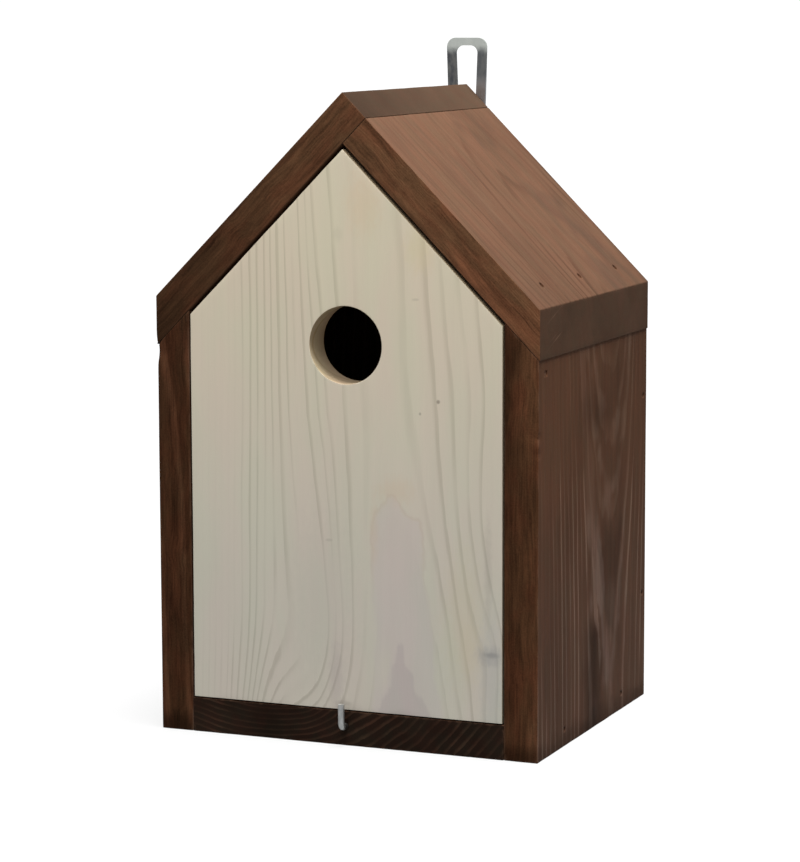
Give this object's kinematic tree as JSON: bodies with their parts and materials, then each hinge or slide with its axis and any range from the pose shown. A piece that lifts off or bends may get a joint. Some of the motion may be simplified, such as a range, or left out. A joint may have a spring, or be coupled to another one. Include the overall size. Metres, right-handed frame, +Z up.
{
  "type": "gabled nest box",
  "caption": "Gabled wooden nest box for small birds, with an entrance hole in a front panel that swings up, a turning latch hook and a slotted hanger plate.",
  "frame": {"origin": "centre of the underside of the floor board, on the ground", "axes": "+Z up, front with the entrance hole faces -Y, +X to the right seen from the front"},
  "size_m": [0.186, 0.1575, 0.316],
  "materials": {
    "carcass_wood": "dark brown stain on planed softwood",
    "roof_wood": "dark brown stain, faded by light",
    "floor_wood": "dark brown stain soaked into end grain",
    "panel_wood": "thin pale glaze on planed softwood",
    "zinc_steel": "dull zinc plating",
    "nail_steel": "dull bare steel"
  },
  "bodies": {
    "house": {"floor_board": "floor_wood", "left_wall": "carcass_wood", "right_wall": "carcass_wood", "back_panel": "carcass_wood", "left_roof_board": "roof_wood", "right_roof_board": "roof_wood", "left_pivot_nail": "nail_steel", "right_pivot_nail": "nail_steel", "hanger_plate": "zinc_steel", "hanger_screw_upper": "zinc_steel", "hanger_screw_lower": "zinc_steel", "left_eave_nail_1": "nail_steel", "left_eave_nail_2": "nail_steel", "left_eave_nail_3": "nail_steel", "right_eave_nail_1": "nail_steel", "right_eave_nail_2": "nail_steel", "right_eave_nail_3": "nail_steel", "ridge_nail_1": "nail_steel", "ridge_nail_2": "nail_steel", "ridge_nail_3": "nail_steel", "left_floor_nail_1": "nail_steel", "left_floor_nail_2": "nail_steel", "left_back_nail_1": "nail_steel", "left_back_nail_2": "nail_steel", "right_floor_nail_1": "nail_steel", "right_floor_nail_2": "nail_steel", "right_back_nail_1": "nail_steel", "right_back_nail_2": "nail_steel"},
    "front": {"front_panel": "panel_wood"},
    "latch": {"latch_hook": "zinc_steel"}
  },
  "joints": [
    {"name": "front_swing", "type": "hinge", "parent": "house", "child": "front", "pos_m": [0, -0.066, 0.17227], "axis": [-1, 0, 0], "range_deg": [0, 120]},
    {"name": "latch_turn", "type": "hinge", "parent": "house", "child": "latch", "pos_m": [0, -0.0795, 0.009], "axis": [0, -1, 0], "range_deg": [-90, 90]}
  ]
}
